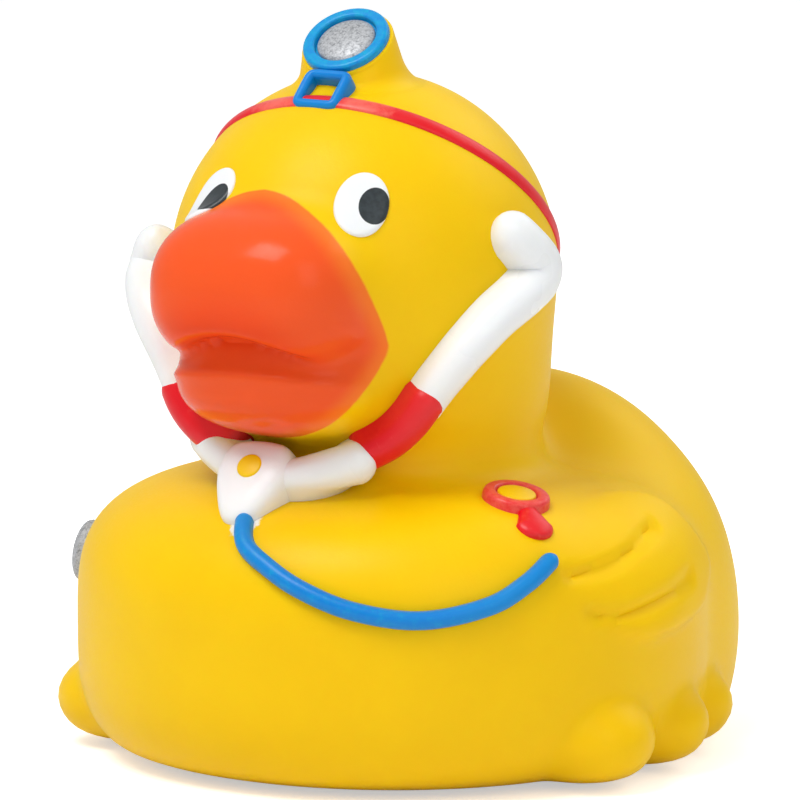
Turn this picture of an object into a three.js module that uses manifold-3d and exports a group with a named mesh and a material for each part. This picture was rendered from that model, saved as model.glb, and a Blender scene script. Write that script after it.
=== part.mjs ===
// A rubber duck dressed as a doctor: one hollow soft vinyl moulding with a squeaker pressed into
// a hole in its flat base. Millimetres, +Z up, the duck faces -Y and its left side is +X.
// The origin is on the surface it rests on, under the middle of its box.
//
// The body, rump, neck, head and bill are one smooth skin: each is a rounded volume, given by a
// number that is below zero inside, and the volumes run into each other with soft blends.
// The skin is found along rays from two centres, one in the body and one in the head, and the two
// fans of rays meet in a ring round the neck. The wall is the same skin moved inwards.
// Toes, feathers and the raised doctor's things are solids that are sunk into the skin and joined.

import * as THREE from 'three';
import { mergeVertices } from 'three/addons/utils/BufferGeometryUtils.js';
import Module from 'manifold-3d';

const wasm = await Module();
wasm.setup();

// Driving dimensions

const wall = 2.0;
const pressGap = 0.3;
const micron = 1e-3;

const body = {
  y: -4.7, z: 15.0, halfWidth: 35.4, halfLength: 35.3, up: 18.1, down: 18.5,
  planPower: 2.05, sidePower: 3.45,
};
const rump = { y: 19.9, z: 12.5, radii: [27.1, 19.9, 28.8], blend: 5.0 };
const neck = { y: -6.2, z: 39.4, radii: [18.6, 15.7, 14.0], blend: 5.7 };
const head = { y: -9.9, z: 55.1, radii: [21.3, 22.8, 22.0], blend: 7.6, turn: 11.0 };
const baseRounding = 2.5;

const upperBill = { forward: 13.5, rise: -1.0, radii: [17.6, 17.3, 10.3], blend: 2.4 };
const lowerBill = { forward: 12.0, rise: -11.5, radii: [13.8, 15.6, 7.0], blend: 0.8 };
const mouth = { middle: -7.0, wave: 2.0, halfWave: 9.0, droop: 0.18, rounding: 1.2 };

// The feet are turned with the head: azimuths count from its front, and reach from the body's middle.
// A toe's size is its half width, its half length away from the body and its half height.
const toes = [
  { azimuth: 73, reach: 28.6, z: 5.6, size: [5.7, 10.0, 5.5] },
  { azimuth: 94.5, reach: 28.2, z: 5.3, size: [5.5, 9.6, 5.3] },
  { azimuth: 114.5, reach: 28.4, z: 5.1, size: [5.3, 9.4, 5.1] },
];

// A feather's size is how far it stands out, its length and its width; pitch turns its tip up.
const feathers = [
  { azimuth: 84, elevation: 12.5, size: [1.3, 12.8, 6.6], pitch: 16 },
  { azimuth: 85, elevation: 2.5, size: [1.5, 12.4, 6.0], pitch: 12 },
  { azimuth: 84, elevation: -6.0, size: [1.1, 9.8, 5.0], pitch: 8 },
];
const featherSink = 3.6;

const boss = { forward: 2.6, radius: 5.8, foot: 15.0, topInset: 0.1 };
const mirror = { forward: 4.0, rise: 25.6, tilt: 50, rimRadius: 5.2, rimHeight: 0.9, glassRadius: 3.3 };
const mirrorGroove = 0.35;
const link = { elevation: 64.5, width: 5.6, length: 6.4, bar: 1.2, height: 1.0 };
const band = { rise: 10.9, slope: 0.75, width: 1.6, height: 0.55 };

const eye = { azimuth: 26.2, elevation: 23.0, halfWidth: 3.0, halfHeight: 3.8, height: 0.5 };
const eyeSink = 1.2;
const pupil = { shift: 5.0, drop: 0.4, halfWidth: 1.9, halfHeight: 2.2, height: 0.7 };

const earTube = { radius: 2.2, lift: 1.5 };
const tubeRoute = [
  [74, 15], [80, 11], [80.5, 5], [74.5, -0.5], [65.5, -7],
  [57.5, -14], [51, -22], [45, -31], [38, -38.5], [29, -43],
];
const earTip = { radius: 2.7 };
const yoke = {
  azimuth: 2.0, elevation: 20.5, lift: 1.5, radius: 3.5, height: 2.6, armRadius: 2.3, stemRadius: 1.8,
};
const armRoute = [[12, 23], [21, 26]];
const stemRoute = [[3.5, 16.5], [4.7, 11.2]];
const hose = { radius: 1.05, lift: 0.25 };
const hoseRoute = [
  [4.7, 11.2], [7.5, 8.0], [12.6, 5.0], [18.5, 2.0], [27, -1.0],
  [37.6, -2.4], [48.3, -0.6], [54.9, 2.5], [59.8, 5.7],
];
const chestPiece = {
  azimuth: 60, elevation: 19.0, rimRadius: 3.7, padRadius: 2.1, height: 1.2, stem: 12.4, stemRadius: 1.6,
};
const bell = { azimuth: -55, elevation: -0.5, radius: 3.7, height: 1.7 };

const vent = { y: 0.0, radius: 4.0, recessRadius: 5.6, recessDepth: 0.9 };
const squeaker = { flange: 0.7, innerFlange: 0.9, reach: 4.5, airRadius: 1.0 };

// How finely the curved faces are divided
const columns = 48;
const bodyRows = 18;
const headRows = 22;
const airGrid = { columns: 26, bodyRows: 11, headRows: 8 };
const lobeFaces = { round: 14, high: 8 };
const eyeSides = 18;
const ballFaces = { round: 8, high: 5 };
const bandSteps = 28;
const mirrorSides = 20;
const tubeFaces = { sides: 7, steps: 14, armSteps: 4, stemSteps: 3 };
const hubSides = 14;
const hoseFaces = { sides: 5, steps: 18 };
const chestFaces = { sides: 14, stemSides: 8, stemSteps: 3, bellSides: 16, bellRings: 3 };
const ventSides = 28;
const crowding = { front: 0.35, bill: 0.8 };
const bodyCentre = new THREE.Vector3(0, 0.4, 22);
const seam = { front: 37, back: 45 };

// Fields: each gives a number below zero inside

function blend(a, b, width) {
  const h = Math.min(Math.max(0.5 + 0.5 * (b - a) / width, 0), 1);
  return b * (1 - h) + a * h - width * h * (1 - h);
}

function overlap(a, b, width) {
  return -blend(-a, -b, width);
}

function ellipsoid(x, y, z, radii) {
  const [a, b, c] = radii;
  const near = Math.hypot(x / a, y / b, z / c);
  const far = Math.hypot(x / (a * a), y / (b * b), z / (c * c));
  return near * (near - 1) / Math.max(far, 1e-9);
}

// A barrel with a superellipse plan, round over the top and under the bottom.
function bodyField(x, y, z) {
  const dx = Math.abs(x) / body.halfWidth;
  const dy = Math.abs(y - body.y) / body.halfLength;
  const dz = Math.abs(z - body.z) / (z > body.z ? body.up : body.down);
  const plan = (dx ** body.planPower + dy ** body.planPower) ** (1 / body.planPower);
  const level = (plan ** body.sidePower + dz ** body.sidePower) ** (1 / body.sidePower);
  return (level - 1) * body.up;
}

// A place in the head's own frame: sideways, forward and up from the head's centre.
const turn = THREE.MathUtils.degToRad(head.turn);

function inHead(x, y, z) {
  const dy = y - head.y;
  return [
    x * Math.cos(turn) + dy * Math.sin(turn),
    x * Math.sin(turn) - dy * Math.cos(turn),
    z - head.z,
  ];
}

function fromHead(side, forward, up) {
  return new THREE.Vector3(
    side * Math.cos(turn) + forward * Math.sin(turn),
    head.y + side * Math.sin(turn) - forward * Math.cos(turn),
    head.z + up,
  );
}

// The line between the two halves of the bill waves up beside the middle and droops to its corners.
function mouthLine(side) {
  const wave = Math.sin(Math.PI * side / (2 * mouth.halfWave)) ** 2;
  const past = Math.max(Math.abs(side) - mouth.halfWave, 0);
  return mouth.middle + mouth.wave * wave - mouth.droop * past * past;
}

function headField(x, y, z) {
  const [side, forward, up] = inHead(x, y, z);
  const ball = ellipsoid(side, forward, up, head.radii);
  const top = ellipsoid(side, forward - upperBill.forward, up - upperBill.rise, upperBill.radii);
  const upper = overlap(top, mouthLine(side) - up, mouth.rounding);
  const lower = ellipsoid(side, forward - lowerBill.forward, up - lowerBill.rise, lowerBill.radii);
  return blend(ball, blend(upper, lower, lowerBill.blend), upperBill.blend);
}

function torso(x, y, z) {
  const back = ellipsoid(x, y - rump.y, z - rump.z, rump.radii);
  return blend(bodyField(x, y, z), back, rump.blend);
}

function skinAround(headBall) {
  return (x, y, z) => {
    const throat = ellipsoid(x, y - neck.y, z - neck.z, neck.radii);
    const top = blend(throat, headBall(x, y, z), head.blend);
    return overlap(blend(torso(x, y, z), top, neck.blend), -z, baseRounding);
  };
}

const skin = skinAround(headField);

// The form without the bill, which the air space follows.
const core = skinAround((x, y, z) => ellipsoid(...inHead(x, y, z), head.radii));

// A direction from an azimuth, counted from straight ahead towards the duck's left, and an elevation.
function direction(azimuth, elevation) {
  const a = THREE.MathUtils.degToRad(azimuth);
  const e = THREE.MathUtils.degToRad(elevation);
  return new THREE.Vector3(Math.sin(a) * Math.cos(e), -Math.cos(a) * Math.cos(e), Math.sin(e));
}

// The first place along a ray where the field passes from inside to outside.
function alongRay(field, start, ray) {
  const step = 0.5;
  const at = new THREE.Vector3();
  const value = (t) => {
    at.copy(start).addScaledVector(ray, t);
    return field(at.x, at.y, at.z);
  };
  let far = step;
  while (value(far) < 0) far += step;
  let near = far - step;
  for (let i = 0; i < 24; i += 1) {
    const middle = (near + far) / 2;
    if (value(middle) < 0) near = middle;
    else far = middle;
  }
  return start.clone().addScaledVector(ray, (near + far) / 2);
}

function normalAt(field, p) {
  const e = 0.05;
  return new THREE.Vector3(
    field(p.x + e, p.y, p.z) - field(p.x - e, p.y, p.z),
    field(p.x, p.y + e, p.z) - field(p.x, p.y - e, p.z),
    field(p.x, p.y, p.z + e) - field(p.x, p.y, p.z - e),
  ).normalize();
}

const headCentre = new THREE.Vector3(0, head.y, head.z);

const onBody = (azimuth, elevation) => alongRay(skin, bodyCentre, direction(azimuth, elevation));
const onHead = (azimuth, elevation) => alongRay(skin, headCentre, direction(azimuth + head.turn, elevation));

function lifted(point, lift) {
  return point.clone().addScaledVector(normalAt(skin, point), lift);
}

// Solids

function solidOf(geometry, mergeDistance = 1e-4) {
  const bare = geometry.index ? geometry.toNonIndexed() : geometry.clone();
  bare.deleteAttribute('normal');
  bare.deleteAttribute('uv');
  const merged = mergeVertices(bare, mergeDistance);
  return new wasm.Manifold(new wasm.Mesh({
    numProp: 3,
    vertProperties: new Float32Array(merged.attributes.position.array),
    triVerts: new Uint32Array(merged.index.array),
  }));
}

function bareGeometry(solid) {
  const { vertProperties, triVerts, numProp } = solid.getMesh();
  const positions = new Float32Array(triVerts.length * 3);
  for (let i = 0; i < triVerts.length; i += 1) {
    for (let k = 0; k < 3; k += 1) positions[3 * i + k] = vertProperties[numProp * triVerts[i] + k];
  }
  return new THREE.BufferGeometry().setAttribute('position', new THREE.BufferAttribute(positions, 3));
}

// A closed grid of rays: a ring of columns for each row, with a point at the bottom and at the top.
// The columns stand closer in front, and the head's rows closer at the bill.
function raySolid(field, columnCount, lowerRows, upperRows) {
  const ring = [];
  for (let c = 0; c < columnCount; c += 1) {
    const even = 2 * Math.PI * c / columnCount;
    const azimuth = even - crowding.front * Math.sin(even);
    const rise = (seam.back - seam.front) / 2 * Math.cos(azimuth);
    const start = new THREE.Vector3(0, neck.y, (seam.front + seam.back) / 2 - rise);
    ring.push(alongRay(field, start, direction(THREE.MathUtils.radToDeg(azimuth), 0)));
  }
  const fan = (centre, pole, share) => ring.map((p) => {
    const toSeam = p.clone().sub(centre).normalize();
    const angle = pole.angleTo(toSeam);
    const ray = pole.clone().multiplyScalar(Math.sin((1 - share) * angle))
      .addScaledVector(toSeam, Math.sin(share * angle)).normalize();
    return alongRay(field, centre, ray);
  });
  const down = new THREE.Vector3(0, 0, -1);
  const up = new THREE.Vector3(0, 0, 1);
  const rings = [];
  for (let r = 1; r < lowerRows; r += 1) rings.push(fan(bodyCentre, down, r / lowerRows));
  rings.push(ring);
  for (let r = upperRows - 1; r > 0; r -= 1) {
    rings.push(fan(headCentre, up, (r / upperRows) ** crowding.bill));
  }
  const points = [alongRay(field, bodyCentre, down), ...rings.flat(), alongRay(field, headCentre, up)];
  const index = [];
  const last = points.length - 1;
  for (let c = 0; c < columnCount; c += 1) {
    const next = (c + 1) % columnCount;
    index.push(0, 1 + next, 1 + c);
    for (let r = 0; r < rings.length - 1; r += 1) {
      const low = 1 + r * columnCount;
      const high = low + columnCount;
      index.push(low + c, low + next, high + next, low + c, high + next, high + c);
    }
    const top = 1 + (rings.length - 1) * columnCount;
    index.push(top + c, top + next, last);
  }
  const flat = points.flatMap((p) => [p.x, p.y, Math.abs(p.z) < 1e-3 ? 0 : p.z]);
  return new wasm.Manifold(new wasm.Mesh({
    numProp: 3,
    vertProperties: new Float32Array(flat),
    triVerts: new Uint32Array(index),
  }));
}

// An oval section, given by its two half axes, carried along a path.
function swept(path, halfX, halfY, sides, steps) {
  const corners = [];
  for (let i = 0; i < sides; i += 1) {
    const a = 2 * Math.PI * i / sides;
    corners.push(new THREE.Vector2(halfX * Math.cos(a), halfY * Math.sin(a)));
  }
  const section = new THREE.Shape(corners);
  return solidOf(new THREE.ExtrudeGeometry(section, { steps, bevelEnabled: false, extrudePath: path }));
}

// A round rod along a smooth line through the points.
function rod(points, radius, sides, steps) {
  return swept(new THREE.CatmullRomCurve3(points, false, 'centripetal'), radius, radius, sides, steps);
}

// A solid turned about a normal: the profile gives radius and height above the seat.
function turned(profile, seat, normal, segments) {
  const outline = profile.map(([r, h]) => new THREE.Vector2(r, h));
  const geometry = new THREE.LatheGeometry(outline, segments);
  geometry.applyQuaternion(new THREE.Quaternion().setFromUnitVectors(new THREE.Vector3(0, 1, 0), normal));
  geometry.translate(seat.x, seat.y, seat.z);
  return solidOf(geometry);
}

// A band of faces from one ring of points to another, closed by a fan at each end.
function loft(low, high) {
  const count = low.length;
  const middle = (ring) => ring.reduce((sum, p) => sum.add(p), new THREE.Vector3()).divideScalar(count);
  const points = [...low, ...high, middle(low), middle(high)];
  const index = [];
  for (let i = 0; i < count; i += 1) {
    const next = (i + 1) % count;
    index.push(i, next, count + next, i, count + next, count + i);
    index.push(next, i, 2 * count, count + i, count + next, 2 * count + 1);
  }
  return new wasm.Manifold(new wasm.Mesh({
    numProp: 3,
    vertProperties: new Float32Array(points.flatMap((p) => [p.x, p.y, p.z])),
    triVerts: new Uint32Array(index),
  }));
}

function lobe(radii, placing) {
  const geometry = new THREE.SphereGeometry(1, lobeFaces.round, lobeFaces.high);
  geometry.scale(...radii);
  geometry.applyMatrix4(placing);
  return solidOf(geometry);
}

function ball(point, radius) {
  const geometry = new THREE.SphereGeometry(radius, ballFaces.round, ballFaces.high);
  geometry.translate(point.x, point.y, point.z);
  return solidOf(geometry);
}

// A frame on the skin: out along the normal, up along the skin, and sideways.
function skinBasis(point, upward) {
  const out = normalAt(skin, point);
  const side = new THREE.Vector3().crossVectors(upward, out).normalize();
  const up = new THREE.Vector3().crossVectors(out, side);
  return new THREE.Matrix4().makeBasis(side, up, out).setPosition(point);
}

// A low oval plate with a rounded edge, sunk into the skin.
function plate(point, halfWidth, halfHeight, height) {
  const outline = [[0, -eyeSink], [1, -eyeSink], [1, height * 0.2], [0.88, height * 0.8], [0, height]];
  const geometry = new THREE.LatheGeometry(outline.map(([r, h]) => new THREE.Vector2(r, h)), eyeSides);
  geometry.rotateX(Math.PI / 2);
  geometry.scale(halfWidth, halfHeight, 1);
  geometry.applyMatrix4(skinBasis(point, new THREE.Vector3(0, 0, 1)));
  return solidOf(geometry);
}

function eyeSolids() {
  const solids = [];
  for (const side of [1, -1]) {
    const white = onHead(side * eye.azimuth, eye.elevation);
    const dark = onHead(side * eye.azimuth + pupil.shift, eye.elevation - pupil.drop);
    solids.push(plate(white, eye.halfWidth, eye.halfHeight, eye.height));
    solids.push(plate(dark, pupil.halfWidth, pupil.halfHeight, pupil.height));
  }
  return solids;
}

// The headband lies where a plane, high in front and low behind, meets the head.
function bandSolid() {
  const count = bandSteps;
  const centre = fromHead(0, 0, band.rise);
  const points = [];
  for (let i = 0; i < count; i += 1) {
    const a = 2 * Math.PI * i / count;
    const ray = fromHead(Math.sin(a), Math.cos(a), band.slope * Math.cos(a)).sub(headCentre).normalize();
    points.push(alongRay(skin, centre, ray));
  }
  const path = new THREE.CatmullRomCurve3(points, true, 'centripetal');
  return swept(path, band.height * 1.4, band.width / 2, 4, count);
}

// The head mirror stands on a stub: a round foot in the head, drawn up to the tilted rim.
function mirrorSolids() {
  const tilt = THREE.MathUtils.degToRad(mirror.tilt);
  const normal = fromHead(0, Math.cos(tilt), Math.sin(tilt)).sub(headCentre);
  const seat = fromHead(0, mirror.forward, mirror.rise);
  const sides = mirrorSides;
  const foot = [];
  const top = [];
  for (let i = 0; i < sides; i += 1) {
    const across = Math.cos(2 * Math.PI * i / sides);
    const back = Math.sin(2 * Math.PI * i / sides);
    const r = mirror.rimRadius - boss.topInset;
    foot.push(fromHead(boss.radius * across, boss.forward - boss.radius * back, boss.foot));
    const forward = mirror.forward - r * back * Math.sin(tilt);
    top.push(fromHead(r * across, forward, mirror.rise + r * back * Math.cos(tilt)));
  }
  const rim = mirror.rimRadius;
  const glass = mirror.glassRadius;
  const high = mirror.rimHeight;
  const inner = glass + mirrorGroove;
  const rimProfile = [
    [0, -0.5], [rim, -0.5], [rim, high * 0.6], [rim - 0.4, high], [inner, high], [inner, 0.3], [0, 0.3],
  ];
  const glassProfile = [
    [0, 0.1], [glass, 0.1], [glass, high * 0.8], [glass * 0.6, high * 1.05], [0, high * 1.2],
  ];
  return [
    loft(foot, top),
    turned(rimProfile, seat, normal, sides),
    turned(glassProfile, seat, normal, sides),
  ];
}

function linkSolid() {
  const w = link.width / 2;
  const l = link.length / 2;
  const corners = (a, b) => [[-a, -b], [a, -b], [a, b], [-a, b]].map(([x, y]) => new THREE.Vector2(x, y));
  const frame = new THREE.Shape(corners(w, l));
  frame.holes.push(new THREE.Path(corners(w - link.bar, l - link.bar).reverse()));
  const sunk = 1.5;
  const geometry = new THREE.ExtrudeGeometry(frame, { depth: link.height + sunk, bevelEnabled: false });
  geometry.translate(0, 0, -sunk);
  geometry.applyMatrix4(skinBasis(onHead(0, link.elevation), new THREE.Vector3(0, 0, 1)));
  return solidOf(geometry);
}

function stethoscopeSolids() {
  const solids = [];
  const hub = lifted(onBody(yoke.azimuth, yoke.elevation), yoke.lift);
  for (const side of [1, -1]) {
    const route = tubeRoute.map(([a, e]) => lifted(onHead(side * a, e), earTube.lift));
    const arms = armRoute.map(([a, e]) => lifted(onBody(yoke.azimuth + side * a - side * 2, e), yoke.lift));
    const end = route[route.length - 1];
    solids.push(rod(route, earTube.radius, tubeFaces.sides, tubeFaces.steps));
    solids.push(ball(route[0], earTip.radius));
    solids.push(ball(end, yoke.armRadius));
    const arm = [hub, ...arms, end];
    solids.push(rod(arm, yoke.armRadius, tubeFaces.sides, tubeFaces.armSteps));
  }
  const outward = normalAt(skin, onBody(yoke.azimuth, yoke.elevation));
  const face = outward.clone().add(new THREE.Vector3(0, -1, 0)).normalize();
  const { radius, height } = yoke;
  const hubProfile = [[0, -3], [radius, -3], [radius, height * 0.6], [radius * 0.75, height], [0, height]];
  solids.push(turned(hubProfile, hub, face, hubSides));
  const stem = stemRoute.map(([a, e], i) => lifted(onBody(a, e), i ? 0.4 : 1.6));
  solids.push(rod([hub, ...stem], yoke.stemRadius, tubeFaces.sides, tubeFaces.stemSteps));
  const line = hoseRoute.map(([a, e]) => lifted(onBody(a, e), hose.lift));
  solids.push(rod(line, hose.radius, hoseFaces.sides, hoseFaces.steps));
  solids.push(ball(line[line.length - 1], hose.radius));
  return solids;
}

function chestPieceSolids() {
  const seat = onBody(chestPiece.azimuth, chestPiece.elevation);
  const out = normalAt(skin, seat);
  const { rimRadius: r, padRadius: p, height: h } = chestPiece;
  const rim = [
    [0, -1.5], [r, -1.5], [r, h * 0.6], [r - 0.4, h], [p + 0.3, h], [p + 0.2, h - 0.3], [p, h], [0, h * 1.2],
  ];
  const stem = [seat, onBody(chestPiece.azimuth, chestPiece.stem)].map((q) => lifted(q, 0.2));
  const bellSeat = onBody(bell.azimuth, bell.elevation);
  const bellProfile = [[0, -1.5], [bell.radius, -1.5], [bell.radius, bell.height * 0.3]];
  for (let i = 1; i <= chestFaces.bellRings; i += 1) {
    const a = Math.PI / 2 * i / chestFaces.bellRings;
    const height = bell.height * (0.3 + 0.7 * Math.sin(a));
    bellProfile.push([i === chestFaces.bellRings ? 0 : bell.radius * Math.cos(a * 0.98), height]);
  }
  return [
    turned(rim, seat, out, chestFaces.sides),
    rod(stem, chestPiece.stemRadius, chestFaces.stemSides, chestFaces.stemSteps),
    turned(bellProfile, bellSeat, normalAt(skin, bellSeat), chestFaces.bellSides),
  ];
}

// The base has a hole with a step, which holds the squeaker.
function ventSolid() {
  const { radius: r, recessRadius: rr, recessDepth: d } = vent;
  const profile = [[0, -1], [rr, -1], [rr, d], [r, d], [r, wall + 3], [0, wall + 3]];
  return turned(profile, new THREE.Vector3(0, vent.y, 0), new THREE.Vector3(0, 0, 1), ventSides);
}

// Where raised solids cross on the skin they can shut in a pocket a micron wide. Points that close
// are made one, and the duck's own surface is kept.
function withoutPockets(solid) {
  const merged = solidOf(bareGeometry(solid), micron);
  return merged.decompose().reduce((a, b) => (a.volume() > b.volume() ? a : b));
}

// Three toes a side, cut off at the floor.
function toeSolids() {
  const span = 4 * (body.halfWidth + body.halfLength);
  const depth = body.down;
  const ground = new THREE.BoxGeometry(span, span, depth);
  ground.translate(0, 0, -depth / 2);
  const floor = solidOf(ground);
  return toes.flatMap(({ azimuth, reach, z, size }) => [1, -1].map((side) => {
    const angle = head.turn + side * azimuth;
    const place = direction(angle, 0).multiplyScalar(reach);
    const placing = new THREE.Matrix4().makeRotationZ(THREE.MathUtils.degToRad(angle));
    placing.setPosition(place.x, body.y + place.y, z);
    return lobe(size, placing).subtract(floor);
  }));
}

// Each feather is a flat lobe that follows the side of the torso.
function featherSolids() {
  return feathers.flatMap(({ azimuth, elevation, size, pitch }) => [1, -1].map((side) => {
    const seat = alongRay(torso, bodyCentre, direction(side * azimuth, elevation));
    const out = normalAt(torso, seat);
    const level = new THREE.Vector3().crossVectors(new THREE.Vector3(0, 0, 1), out).normalize();
    const along = level.applyAxisAngle(out, -side * THREE.MathUtils.degToRad(pitch));
    const across = new THREE.Vector3().crossVectors(out, along);
    const centre = seat.clone().addScaledVector(out, -featherSink);
    const [stand, length, width] = size;
    const placing = new THREE.Matrix4().makeBasis(out, along, across).setPosition(centre);
    return lobe([stand + featherSink, length, width], placing);
  }));
}

function duckBody() {
  const outer = raySolid(skin, columns, bodyRows, headRows);
  const inward = (x, y, z) => core(x, y, z) + wall;
  const air = raySolid(inward, airGrid.columns, airGrid.bodyRows, airGrid.headRows);
  let duck = outer;
  const raised = [
    ...toeSolids(), ...featherSolids(), bandSolid(), ...mirrorSolids(), linkSolid(), ...eyeSolids(),
    ...stethoscopeSolids(), ...chestPieceSolids(),
  ];
  for (const solid of raised) duck = duck.add(solid);
  return withoutPockets(duck.subtract(air).subtract(ventSolid()));
}

// The squeaker: a moulded plug with a flange outside, a flange inside and an air hole.
function squeakerBody() {
  const r = vent.radius - pressGap;
  const outerFlange = vent.recessRadius - pressGap;
  const low = vent.recessDepth - pressGap - squeaker.flange + 0.1;
  const high = vent.recessDepth - pressGap;
  const seat = wall + pressGap;
  const air = squeaker.airRadius;
  const profile = [
    [air, low], [outerFlange, low], [outerFlange, high], [r, high], [r, seat], [r + 1.2, seat],
    [r + 0.8, seat + squeaker.innerFlange], [r - 0.6, seat + squeaker.innerFlange],
    [r - 0.9, squeaker.reach + seat], [air, squeaker.reach + seat], [air, low],
  ];
  return turned(profile, new THREE.Vector3(0, vent.y, 0), new THREE.Vector3(0, 0, 1), ventSides);
}

function meshOf(solid, name, colour, roughness) {
  const geometry = bareGeometry(solid);
  geometry.computeVertexNormals();
  const material = new THREE.MeshStandardMaterial({ color: colour, roughness, metalness: 0 });
  const mesh = new THREE.Mesh(geometry, material);
  mesh.name = name;
  return mesh;
}

const duck = new THREE.Group();
duck.add(meshOf(duckBody(), 'duck_body', 0xf2cd00, 0.45));
duck.add(meshOf(squeakerBody(), 'squeaker_plug', 0xe9e6dc, 0.5));

export default duck;
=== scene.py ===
"""Rubber duck in a doctor's dress: a hollow vinyl moulding whose relief is coloured with paint."""

import math

import bpy
import numpy as np
from bpy.props import FloatProperty, FloatVectorProperty, PointerProperty
from mathutils import Matrix, Vector


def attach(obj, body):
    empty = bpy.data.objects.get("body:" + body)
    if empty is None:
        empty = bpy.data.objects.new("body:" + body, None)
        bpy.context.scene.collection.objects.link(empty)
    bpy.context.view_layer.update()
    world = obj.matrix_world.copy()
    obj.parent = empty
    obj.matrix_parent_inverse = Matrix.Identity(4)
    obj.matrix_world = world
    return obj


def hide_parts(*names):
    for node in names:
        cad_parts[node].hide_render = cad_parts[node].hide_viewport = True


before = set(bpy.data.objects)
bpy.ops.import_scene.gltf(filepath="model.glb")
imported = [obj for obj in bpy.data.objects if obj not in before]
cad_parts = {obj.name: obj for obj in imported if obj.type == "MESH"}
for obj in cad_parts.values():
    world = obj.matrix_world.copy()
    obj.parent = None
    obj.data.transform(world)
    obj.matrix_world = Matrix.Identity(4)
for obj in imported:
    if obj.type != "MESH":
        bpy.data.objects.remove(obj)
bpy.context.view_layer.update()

bl_info = {
    "name": "Rubber Duck in Doctor's Dress",
    "version": (1, 0, 0),
    "blender": (4, 5, 0),
    "location": "View3D > Sidebar > Duck",
    "description": "Builds a moulded vinyl duck with painted bill, stethoscope, headband and mirror",
    "category": "Add Mesh",
}

MM = 0.001
BODY = "root"

# Volumes of the moulding, in millimetres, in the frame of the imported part.
TORSO = {"y": -4.7, "z": 15.0, "half_width": 35.4, "half_length": 35.3, "up": 18.1, "down": 18.5,
         "plan_power": 2.05, "side_power": 3.45}
RUMP = {"centre": (0, 19.9, 12.5), "radii": (27.1, 19.8, 28.8), "blend": 5.0}
NECK = {"centre": (0, -6.2, 39.4), "radii": (18.6, 15.7, 14.0), "blend": 5.7}
HEAD = {"centre": (0, -9.9, 55.1), "radii": (21.3, 22.8, 22.0), "blend": 7.6, "turn": 11.0}
BASE_ROUNDING = 2.5
BILL_TURN = 6.0
UPPER_BILL = {"forward": 15.8, "rise": -1.0, "radii": (13.1, 14.4), "up": 9.7, "down": 9.2,
              "plan_power": 2.9, "side_power": 2.5, "blend": 2.2}
LOWER_BILL = {"forward": 13.2, "rise": -11.0, "radii": (12.6, 12.9), "up": 9.6, "down": 6.4,
              "plan_power": 2.5, "side_power": 2.2, "blend": 0.8}
MOUTH = {"rise": -5.2, "droop": 0.036, "rounding": 1.3}
# The lower bill's lip lies this far below the mouth line in the middle, and meets it at the corners.
LIP = {"below": 4.6, "half_width": 12.2, "height": 0.5, "hollow": 0.15}
# The feet are turned with the head: azimuths count from its front, and reach from the torso's middle.
TOES = (
    {"azimuth": 70.5, "reach": 28.9, "rise": 5.3, "radii": (7.8, 9.6, 5.9)},
    {"azimuth": 94.0, "reach": 28.5, "rise": 5.3, "radii": (6.6, 9.2, 5.8)},
    {"azimuth": 114.5, "reach": 29.1, "rise": 5.4, "radii": (6.0, 9.4, 5.8)},
)
TOE_BLEND = 0.7
TORSO_CENTRE = np.array([0, 0.4, 22.0])
HEAD_CENTRE = np.array(HEAD["centre"])
SEAM = {"front": 37.0, "back": 45.0}
VENT = {"recess_radius": 5.6, "recess_depth": 0.9, "radius": 5.2, "depth": 7.2}


def join(a, b, width):
    """Smooth least of two fields: their blend is a parabola as wide as width."""
    share = np.clip(0.5 + 0.5 * (b - a) / width, 0, 1)
    return b * (1 - share) + a * share - width * share * (1 - share)


def meet(a, b, width):
    """Smooth greatest of two fields."""
    return -join(-a, -b, width)


def ellipsoid(offset, radii):
    """Near distance to an ellipsoid: its level times level less one, over the length of its slope."""
    radii = np.asarray(radii, float)
    near = np.linalg.norm(offset / radii, axis=-1)
    slope = np.linalg.norm(offset / radii**2, axis=-1)
    return near * (near - 1) / np.maximum(slope, 1e-9)


def pillow(offset, radii, up, down, plan_power, side_power):
    """A rounded block: a superellipse in plan carried up and down by another, in about millimetres."""
    plan = ((np.abs(offset[..., :2]) / radii) ** plan_power).sum(-1)
    rise = np.abs(offset[..., 2]) / np.where(offset[..., 2] > 0, up, down)
    level = (plan ** (side_power / plan_power) + rise**side_power) ** (1 / side_power)
    return (level - 1) * min(up, down)


def turned_axes(points, turn):
    """Side, forward and up of points about the head's centre, in axes turned about Z by turn degrees."""
    angle = math.radians(turn)
    across, along = points[..., 0], points[..., 1] - HEAD_CENTRE[1]
    side = across * math.cos(angle) + along * math.sin(angle)
    forward = across * math.sin(angle) - along * math.cos(angle)
    return np.stack([side, forward, points[..., 2] - HEAD_CENTRE[2]], -1)


def from_turned(place, turn):
    """The point that has this side, forward and up about the head's centre."""
    angle = math.radians(turn)
    place = np.asarray(place, float)
    side, forward = place[..., 0], place[..., 1]
    across = side * math.cos(angle) + forward * math.sin(angle)
    along = side * math.sin(angle) - forward * math.cos(angle)
    return np.stack([across, along + HEAD_CENTRE[1], place[..., 2] + HEAD_CENTRE[2]], -1)


def mouth_rise(side):
    """Height of the mouth line: highest in the middle, drooping with the square of the side."""
    return MOUTH["rise"] - MOUTH["droop"] * side**2


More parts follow.
